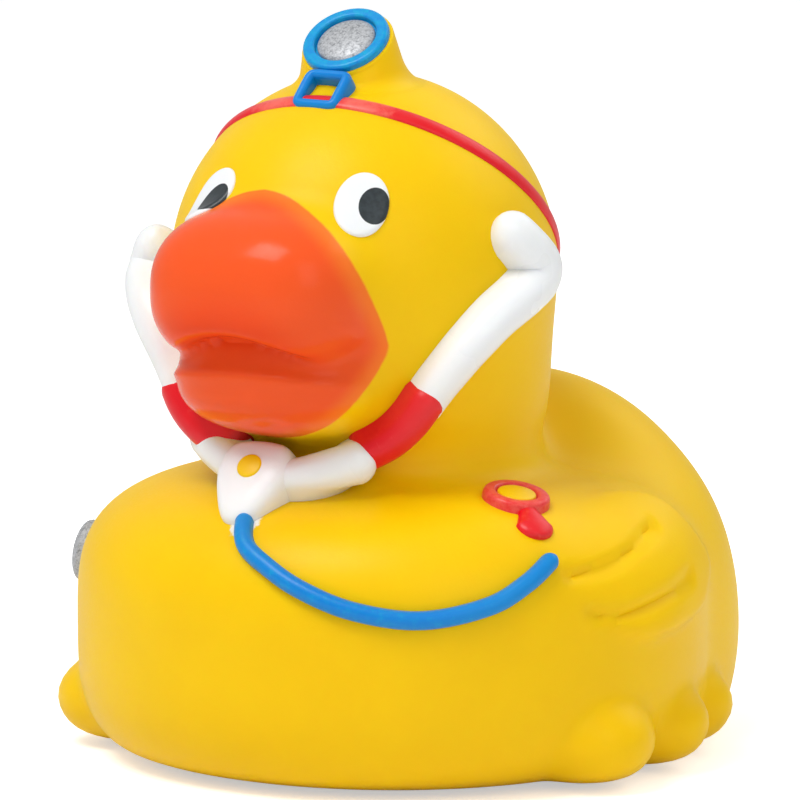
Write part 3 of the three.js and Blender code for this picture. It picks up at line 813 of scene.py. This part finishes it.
def length_property(name, description, value, least, most):
    """A length given in millimetres."""
    return FloatProperty(name=name, description=description, default=value * MM, min=least * MM,
                         max=most * MM, precision=5, unit="LENGTH", subtype="DISTANCE")


class DuckSizes(bpy.types.PropertyGroup):
    """Sizes of the relief that a user would change."""

    tube_radius: length_property("Ear tube", "Radius of the ear tubes", 2.3, 1.0, 4.0)
    sleeve_radius: length_property("Sleeve", "Radius of the red sleeves", 2.1, 1.0, 4.0)
    hose_radius: length_property("Hose", "Radius of the blue hose", 1.0, 0.5, 2.0)
    band_width: length_property("Headband", "Width of the headband", 2.1, 0.8, 3.0)
    mirror_radius: length_property("Mirror rim", "Outer radius of the blue mirror rim", 4.95, 3.0, 7.0)
    glass_radius: length_property("Mirror face", "Radius of the silver face", 3.35, 2.0, 5.0)
    eye_width: length_property("Eye width", "Half width of an eye", 3.0, 1.0, 6.0)
    eye_height: length_property("Eye height", "Half height of an eye", 3.8, 1.0, 6.0)


def colour_property(name, description, value):
    return FloatVectorProperty(name=name, description=description, default=value, size=3, min=0.0, max=1.0,
                               subtype="COLOR")


class DuckColours(bpy.types.PropertyGroup):
    """Colours of the vinyl and its paints, in linear light."""

    vinyl: colour_property("Vinyl", "Colour of the yellow vinyl", (0.89, 0.56, 0.0))
    vinyl_shade: colour_property("Vinyl mottle", "Slightly deeper yellow of the mottle", (0.86, 0.53, 0.0))
    bill: colour_property("Bill", "Orange paint of the bill", (0.84, 0.095, 0.018))
    bill_edge: colour_property("Bill edge", "Orange where the coat thins over the yellow", (0.92, 0.22, 0.02))
    # Painted shade: this deeper orange is laid just above the mouth line to stand in for the shade there.
    bill_painted_shade: colour_property("Bill painted shade", "Deeper orange above the mouth", (0.80, 0.062, 0.008))
    white: colour_property("White", "White paint", (0.83, 0.85, 0.86))
    white_thin: colour_property("Thin white", "White where it thins over yellow", (0.85, 0.80, 0.66))
    red: colour_property("Red", "Red paint", (0.72, 0.003, 0.012))
    red_worn: colour_property("Worn red", "Red where the coat is thin and grainy", (0.86, 0.16, 0.12))
    blue: colour_property("Blue", "Blue paint", (0.0, 0.20, 0.62))
    blue_thin: colour_property("Thin blue", "Blue where it thins over yellow", (0.0, 0.42, 0.62))
    silver: colour_property("Silver", "Bright flakes of the silver paint", (0.50, 0.51, 0.53))
    silver_dark: colour_property("Silver shade", "Dark grain of the silver paint", (0.20, 0.21, 0.22))
    pupil: colour_property("Pupil", "Dark grey of the pupils", (0.034, 0.045, 0.05))
    pupil_shade: colour_property("Pupil grain", "Grain of the pupils", (0.024, 0.031, 0.035))
    plug: colour_property("Plug", "Squeaker plastic", (0.80, 0.78, 0.71))
    plug_shade: colour_property("Plug mottle", "Mottle of the squeaker plastic", (0.76, 0.74, 0.66))


class DUCK_OT_skin(bpy.types.Operator):
    """Builds the vinyl skin: body, head, bill, wings and toes in one closed surface"""

    bl_idname = "duck.skin"
    bl_label = "Vinyl Skin"

    def execute(self, context):
        rows = ((400, 104, 128, 24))
        grid, crown = skin_grid(*rows[:3])
        grid = even_out(grid, fixed=5, rounds=rows[3])
        normal = slope(grid)
        wing = wing_height(grid) + lip_height(grid)
        wing[:5] = 0
        shaped = grid + normal * wing[..., None]
        place = turned_axes(grid, BILL_TURN)
        over_mouth = place[..., 2] - mouth_rise(place[..., 0])
        # Painted shade: a mask of deeper orange on the middle and front of the upper bill, from just above the
        # mouth line to about 6.5 mm over it.
        painted_shade_above_mouth = smooth_step(over_mouth, 6.5, 0.8) * smooth_step(over_mouth, -1.6, -0.4)
        painted_shade_above_mouth *= smooth_step(np.abs(place[..., 0]), 11.5, 5.0) * (place[..., 1] > 15)
        hub = on_torso([HUB])[0]
        arm = curve_through(ARM_PLACES["left"], 12)
        stem = curve_through(on_torso(STEM_ROUTE), 8)
        near = np.minimum(distance_to_route(grid, arm), distance_to_route(grid, stem))
        near = np.minimum(near, np.linalg.norm(grid - hub, axis=-1) - 1.0)
        attributes = {"bill_paint": bill_distance(grid), "bill_painted_shade": painted_shade_above_mouth, "white_spray": 1.5 - near}
        ends = (np.array([0, 0, VENT["depth"]]), crown)
        piece = add_grid("duck_skin", shaped, material("skin"), ends=ends, attributes=attributes)
        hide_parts("duck_body")
        return {"FINISHED"}


class DUCK_OT_eyes(bpy.types.Operator):
    """Builds the two raised white eyes with their pupils"""

    bl_idname = "duck.eyes"
    bl_label = "Eyes"

    def execute(self, context):
        wide, high = sizes().eye_width / MM, sizes().eye_height / MM
        for name, sign in (("eye_left", 1), ("eye_right", -1)):
            spot = on_head([(sign * EYE["azimuth"], EYE["elevation"])])[0]
            normal = slope(spot[None])[0]
            right, top = tangent_axes(normal)
            angle = np.linspace(0, 2 * np.pi, 96, endpoint=False)
            outline = np.stack([wide * np.cos(angle) + 0.12 * high * np.sin(angle), high * np.sin(angle)], -1)

            def pupil(plan):
                across, rise = plan[..., 0] - 1.35, plan[..., 1] + 0.25
                return (1 - np.hypot((across - 0.1 * rise) / 1.7, rise / 2.1)) * 1.9

            surface_patch(name, material("eye"), spot, right, top, outline, 0.42, 0.7, rings=40,
                          attributes={"pupil": pupil})
        return {"FINISHED"}


class DUCK_OT_headband(bpy.types.Operator):
    """Builds the red headband round the head and the blue strap link"""

    bl_idname = "duck.headband"
    bl_label = "Headband and Strap Link"

    def execute(self, context):
        angle = np.linspace(0, 2 * np.pi, 260, endpoint=False)
        level = np.stack([np.sin(angle), np.cos(angle), BAND["slope"] * np.cos(angle)], -1)
        rays = unit(from_turned(level, HEAD["turn"]) - HEAD_CENTRE)
        start = HEAD_CENTRE + [0, 0, BAND["rise"]]
        path = exit_points(start, rays)
        half = sizes().band_width / MM / 2
        front = np.abs((angle + np.pi) % (2 * np.pi) - np.pi)
        worn = 1.1 * np.exp(-(((front - 0.45) / 0.33) ** 2)) - 0.75
        moulded_ridge("headband", material("red"), path, slope(path), half, 0.42, sides=14, closed=True,
                      worn=worn)
        spot = on_head([(0, LINK["elevation"])])[0]
        normal = slope(spot[None])[0]
        right, top = tangent_axes(normal, upward=(0, 0.3, 1))
        corner = 0.25
        wide, high = 2.35, 2.0
        angle = np.linspace(0, 2 * np.pi, 120, endpoint=False)
        round_plan = np.stack([np.cos(angle), np.sin(angle)], -1)
        plan = np.sign(round_plan) * np.abs(round_plan) ** corner * [wide, high]
        flat = spot + plan[:, :1] * right + plan[:, 1:] * top
        path = flat + normal * (0.55 + 0.75 * plan[:, 1:] / high)
        up = np.broadcast_to(unit(normal - 0.3 * top), path.shape)
        moulded_ridge("strap_link", material("blue"), path, up, 0.6, 0.7, skirt=2.4, sides=14, closed=True,
                      worn=-0.7)
        return {"FINISHED"}


class DUCK_OT_mirror(bpy.types.Operator):
    """Builds the head mirror: its yellow stub, blue rim and silver face"""

    bl_idname = "duck.mirror"
    bl_label = "Head Mirror"

    def execute(self, context):
        tilt = math.radians(MIRROR["tilt"])
        place = np.array([0, MIRROR["forward"], MIRROR["rise"]])
        seat = from_turned(place, HEAD["turn"])
        normal = unit(from_turned(place + [0, math.cos(tilt), math.sin(tilt)], HEAD["turn"]) - seat)
        angle = np.linspace(0, 2 * np.pi, 96, endpoint=False)
        radius = sizes().mirror_radius / MM + 0.35
        side = from_turned(place + [1.0, 0, 0], HEAD["turn"]) - seat
        top = np.cross(normal, side)
        top = top if top[2] > 0 else -top
        spokes = np.cos(angle)[:, None] * side + np.sin(angle)[:, None] * top
        rim = seat + radius * spokes
        level = np.stack([np.cos(angle), -np.sin(angle), 0 * angle], -1)
        foot = from_turned(level * 6.1 + [0, MIRROR["foot_forward"], 0], HEAD["turn"])
        wide = from_turned(level * 7.9 + [0, MIRROR["foot_forward"], 0], HEAD["turn"])
        up = np.array([0.0, 0.0, 1.0])
        foot, wide = exit_points_along(foot, up), exit_points_along(wide, up)
        share = np.linspace(0, 1, 14)[:, None, None]
        knee = foot + 0.45 * (rim - foot)
        flare = (1 - share) ** 2 * wide + 2 * share * (1 - share) * foot + share**2 * knee
        wall = knee + np.linspace(0, 1, 8)[1:, None, None] * (rim - knee)
        rounding = 0.35
        edge = [rim + normal * rounding * math.sin(a) - spokes * rounding * (1 - math.cos(a))
                for a in (0.5, 1.0, 1.57)]
        grid = np.concatenate([wide[None] - [0, 0, 0.5], flare, wall, np.array(edge)])
        ends = (wide.mean(0) - [0, 0, 1.5], seat + normal * 0.35)
        bare, shape = -5.0, grid.shape[:2]
        # The stub has no bill paint, no painted shade above the mouth and no overspray.
        attributes = {"bill_paint": np.full(shape, bare), "bill_painted_shade": np.zeros(shape),
                      "white_spray": np.full(shape, bare)}
        add_grid("mirror_stub", grid, material("skin"), ends=ends, sharp=math.radians(70),
                 attributes=attributes)
        outer, inner = sizes().mirror_radius / MM, sizes().glass_radius / MM
        profile = np.concatenate([
            [(0.05, -1.0), (outer, -1.0), (outer, 0.3)], arc((outer - 0.45, 0.45), 0.45, 0, 90),
            arc((inner + 0.55, 0.6), 0.3, 90, 180, 5), [(inner + 0.2, 0.15), (0.05, 0.15)],
        ])
        turned_piece("mirror_rim", material("blue"), seat + normal * 0.3, normal, profile)
        face = np.concatenate([
            [(0.05, -0.3), (inner, -0.3), (inner, 0.25)], arc((inner - 0.3, 0.25), 0.3, 0, 80, 6),
            np.stack([np.linspace(inner - 0.35, 0.05, 10),
                      0.55 + 0.45 * (1 - (np.linspace(inner - 0.35, 0.05, 10) / inner) ** 2)], -1),
        ])
        turned_piece("mirror_face", material("silver"), seat + normal * 0.3, normal, face)
        return {"FINISHED"}


class DUCK_OT_stethoscope(bpy.types.Operator):
    """Builds the moulded stethoscope: ear tips, tubes, sleeves, yoke and hose"""

    bl_idname = "duck.stethoscope"
    bl_label = "Stethoscope"

    def execute(self, context):
        tube, sleeve = sizes().tube_radius / MM, sizes().sleeve_radius / MM
        for name, sign in (("left", 1), ("right", -1)):
            mirror = np.array([sign, 1])
            knots = TUBE_ROUTE if name == "left" else TUBE_ROUTE[2:]
            route = curve_through(np.array(knots) * mirror, 90)
            if name == "right":
                route[:, 0] += FAR_TUBE["turn"] * np.linspace(1, 0, len(route))
            path = on_head(route)
            up = slope(path)
            along = np.linspace(0, 1, len(path))
            taper = tube * np.interp(along, [0, 0.2, 0.4, 1], [1.14, 1.08, 1.06, 0.92])
            lift = np.interp(along, [0, 0.15, 0.3, 1], [1.0, 1.7, 2.0, 1.5])
            if name == "right":
                lift += FAR_TUBE["lift"] * smooth_step(along, 1.0, 0.3)
            moulded_ridge("ear_tube_" + name, material("white"), path + up * lift[:, None], up, taper, taper,
                          skirt=3.4, worn=-0.8)
            path = on_head(curve_through(np.array(SLEEVE_ROUTE) * mirror, 30))
            up = slope(path)
            moulded_ridge("sleeve_" + name, material("red"), path + up * 1.7, up, sleeve, sleeve * 1.05,
                          skirt=2.8, worn=-0.5)
            path = curve_through(ARM_PLACES[name], 30)
            up = slope(path)
            wide = np.linspace(1.9, 2.4, len(path))
            moulded_ridge("yoke_arm_" + name, material("white"), path, up, wide, wide * 0.9, skirt=2.6,
                          worn=-0.8)
        normal = direction(HUB_FACE[0], HUB_FACE[1])
        spot = on_torso([HUB])[0] + normal * 1.4
        right, top = tangent_axes(normal)
        outline = curve_through([(2.9, 4.2), (4.4, 1.0), (3.5, -2.6), (1.5, -5.8), (-1.5, -5.8), (-3.5, -2.6),
                                 (-4.4, 1.0), (-2.9, 4.2)], 96, closed=True)
        levels = ((1.0, -5.0), (1.0, 1.4), (0.98, 2.2), (0.9, 2.9), (0.76, 3.3), (0.4, 3.4), (0.05, 3.4))
        grid = np.array([spot + outline[:, :1] * right * s + outline[:, 1:] * top * s + normal * h
                         for s, h in levels])
        add_grid("yoke_hub", grid, material("white"), sharp=math.radians(75),
                 attributes={"worn": np.full(grid.shape[:2], -0.8)})
        dot = spot + normal * 3.15 + top * 0.7
        profile = np.concatenate([[(0.05, -0.6), (1.45, -0.6), (1.45, 0.25)],
                                  arc((1.25, 0.25), 0.2, 0, 85, 5), [(0.9, 0.5), (0.05, 0.55)]])
        turned_piece("yoke_button", material("yellow"), dot, normal, profile, sides=48)
        path = on_torso(curve_through(HOSE_ROUTE, 120))
        up = slope(path)
        hose = sizes().hose_radius / MM
        worn = np.linspace(-0.2, -0.4, len(path))
        moulded_ridge("hose", material("blue"), path + up * 0.35, up, hose, hose * 0.95, skirt=1.2,
                      worn=worn)
        return {"FINISHED"}


class DUCK_OT_chest_piece(bpy.types.Operator):
    """Builds the red and yellow chest piece with its stem, and the silver bell on the far side"""

    bl_idname = "duck.chest_piece"
    bl_label = "Chest Piece and Bell"

    def execute(self, context):
        spot = on_torso([CHEST_PIECE])[0]
        normal = slope(spot[None])[0]
        ring = np.concatenate([[(0.05, -1.5), (3.9, -1.5), (3.7, 0.5)], arc((3.2, 0.5), 0.5, 0, 90, 6),
                               arc((2.6, 0.75), 0.25, 90, 180, 4), [(2.25, 0.55), (0.05, 0.55)]])
        turned_piece("chest_piece_ring", material("red"), spot, normal, ring)
        pad = np.concatenate([[(0.05, 0.2), (2.15, 0.2), (2.15, 0.7)], arc((1.9, 0.7), 0.25, 0, 80, 5),
                              [(1.2, 1.05), (0.05, 1.1)]])
        turned_piece("chest_piece_pad", material("yellow"), spot, normal, pad)
        path = on_torso(curve_through([(60.0, 16.0), (59.9, 14.2), (59.7, 12.4)], 16))
        up = slope(path)
        wide = np.interp(np.linspace(0, 1, 16), [0, 0.35, 1], [1.4, 1.2, 2.1])
        moulded_ridge("chest_piece_stem", material("red"), path, up, wide, 0.9,
                      worn=-0.4)
        spot = on_torso([BELL])[0]
        normal = slope(spot[None])[0]
        rise = np.linspace(0, 1, 14)
        dome = np.stack([3.5 * np.cos(rise * np.pi / 2) + 0.02, 0.2 + 1.4 * np.sin(rise * np.pi / 2)], -1)
        profile = np.concatenate([[(0.05, -1.0), (3.6, -1.0), (3.6, 0.1)], dome])
        turned_piece("bell_disc", material("silver"), spot, normal, profile)
        return {"FINISHED"}


class DUCK_OT_plug(bpy.types.Operator):
    """Gives the squeaker plug in the base its finish"""

    bl_idname = "duck.plug"
    bl_label = "Squeaker Plug"

    def execute(self, context):
        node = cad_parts["squeaker_plug"]
        node.data.materials.clear()
        node.data.materials.append(material("plug"))
        return {"FINISHED"}


CAMERA = {"azimuth": 38.0, "elevation": 5.59, "distance": 600.0, "target": (0.0, -8.11, 55.0),
          "target_pixel": (374.38, 267.10), "pixels_per_mm": 8.94}
IMAGE_SIZE = 800
SENSOR = 36.0
# Each light's name, place and size in metres, and power in watts.
LIGHTS = (
    ("key", (-0.08, -0.45, 0.85), (0.45, 0.4), 5.4),
    ("side", (0.75, -0.35, 0.45), (0.4, 0.6), 1.1),
    ("rear", (0.2, 0.6, 0.6), (0.7, 0.4), 1.3),
)


class DUCK_OT_stage(bpy.types.Operator):
    """Sets up the pale floor, the studio lights and the camera"""

    bl_idname = "duck.stage"
    bl_label = "Stage"

    def add_light(self, name, place, target, size, power):
        light = bpy.data.lights.new(name, "AREA")
        light.shape = "RECTANGLE"
        light.size, light.size_y = size
        light.energy = power
        lamp = bpy.data.objects.new(name, light)
        lamp.location = place
        lamp.rotation_mode = "QUATERNION"
        lamp.rotation_quaternion = (Vector(target) - Vector(place)).to_track_quat("-Z", "Y")
        bpy.context.scene.collection.objects.link(lamp)

    def execute(self, context):
        azimuth, elevation = math.radians(CAMERA["azimuth"]), math.radians(CAMERA["elevation"])
        back = Vector((math.sin(azimuth) * math.cos(elevation), -math.cos(azimuth) * math.cos(elevation),
                       math.sin(elevation)))
        right = Vector((math.cos(azimuth), math.sin(azimuth), 0))
        up = back.cross(right)
        focal = CAMERA["pixels_per_mm"] * CAMERA["distance"]
        across = (IMAGE_SIZE / 2 - CAMERA["target_pixel"][0]) / focal
        rise = (CAMERA["target_pixel"][1] - IMAGE_SIZE / 2) / focal
        camera = bpy.data.cameras.new("camera")
        camera.sensor_width = SENSOR
        camera.lens = SENSOR * focal / IMAGE_SIZE
        camera.clip_start = 0.01
        eye = bpy.data.objects.new("camera", camera)
        eye.location = (Vector(CAMERA["target"]) + back * CAMERA["distance"]) * MM
        aim = (-back + right * across + up * rise).normalized()
        side = aim.cross(up).normalized()
        eye.matrix_world = Matrix.Translation(eye.location) @ Matrix(
            (side, side.cross(aim), -aim)).transposed().to_4x4()
        bpy.context.scene.collection.objects.link(eye)
        bpy.context.scene.camera = eye

        mesh = bpy.data.meshes.new("floor")
        reach = 6.0
        mesh.from_pydata([(-reach, -reach, 0), (reach, -reach, 0), (reach, reach, 0), (-reach, reach, 0)], [],
                         [(0, 1, 2, 3)])
        floor = bpy.data.objects.new("floor", mesh)
        floor.location.z = -0.0002
        bpy.context.scene.collection.objects.link(floor)
        pale = bpy.data.materials.new("pale_floor")
        pale.use_nodes = True
        shader = pale.node_tree.nodes["Principled BSDF"]
        shader.inputs["Base Color"].default_value = (0.93, 0.93, 0.93, 1)
        shader.inputs["Roughness"].default_value = 0.7
        shader.inputs["Specular IOR Level"].default_value = 0.1
        shader.inputs["Emission Color"].default_value = (1, 1, 1, 1)
        seen = pale.node_tree.nodes.new("ShaderNodeLightPath").outputs["Is Camera Ray"]
        glow = fit_range(pale.node_tree, seen, 0.0, 1.0, 0.0, 0.5, smooth=False)
        link(pale.node_tree, glow, shader.inputs["Emission Strength"])
        mesh.materials.append(pale)

        bpy.context.scene.view_settings.view_transform = "Standard"
        world = bpy.data.worlds.new("studio")
        world.use_nodes = True
        tree = world.node_tree
        shader = tree.nodes["Background"]
        socket_value(shader, "Color", (1, 1, 1, 1))
        seen = tree.nodes.new("ShaderNodeLightPath").outputs["Is Camera Ray"]
        link(tree, fit_range(tree, seen, 0.0, 1.0, 0.52, 1.0, smooth=False), shader.inputs["Strength"])
        bpy.context.scene.world = world
        middle = (0, 0, 0.04)
        for name, place, size, power in LIGHTS:
            self.add_light(name, place, middle, size, power)
        return {"FINISHED"}


class DUCK_PT_panel(bpy.types.Panel):
    """Lists the duck's pieces, sizes and colours"""

    bl_idname = "DUCK_PT_panel"
    bl_label = "Rubber Duck"
    bl_space_type = "VIEW_3D"
    bl_region_type = "UI"
    bl_category = "Duck"

    def draw(self, context):
        for operator in OPERATORS:
            self.layout.operator(operator.bl_idname)
        for group_name in ("duck_sizes", "duck_colours"):
            values = getattr(context.scene, group_name)
            box = self.layout.box()
            for key in values.bl_rna.properties.keys():
                if key not in ("rna_type", "name"):
                    box.prop(values, key)


OPERATORS = (DUCK_OT_stage, DUCK_OT_skin, DUCK_OT_eyes, DUCK_OT_headband, DUCK_OT_mirror, DUCK_OT_stethoscope,
             DUCK_OT_chest_piece, DUCK_OT_plug)
CLASSES = (DuckSizes, DuckColours, *OPERATORS, DUCK_PT_panel)


def register():
    for cls in CLASSES:
        bpy.utils.register_class(cls)
    bpy.types.Scene.duck_sizes = PointerProperty(type=DuckSizes)
    bpy.types.Scene.duck_colours = PointerProperty(type=DuckColours)


def unregister():
    del bpy.types.Scene.duck_colours
    del bpy.types.Scene.duck_sizes
    for cls in reversed(CLASSES):
        bpy.utils.unregister_class(cls)


def main():
    register()
    for operator in OPERATORS:
        family, name = operator.bl_idname.split(".")
        getattr(getattr(bpy.ops, family), name)()


if __name__ == "__main__":
    main()
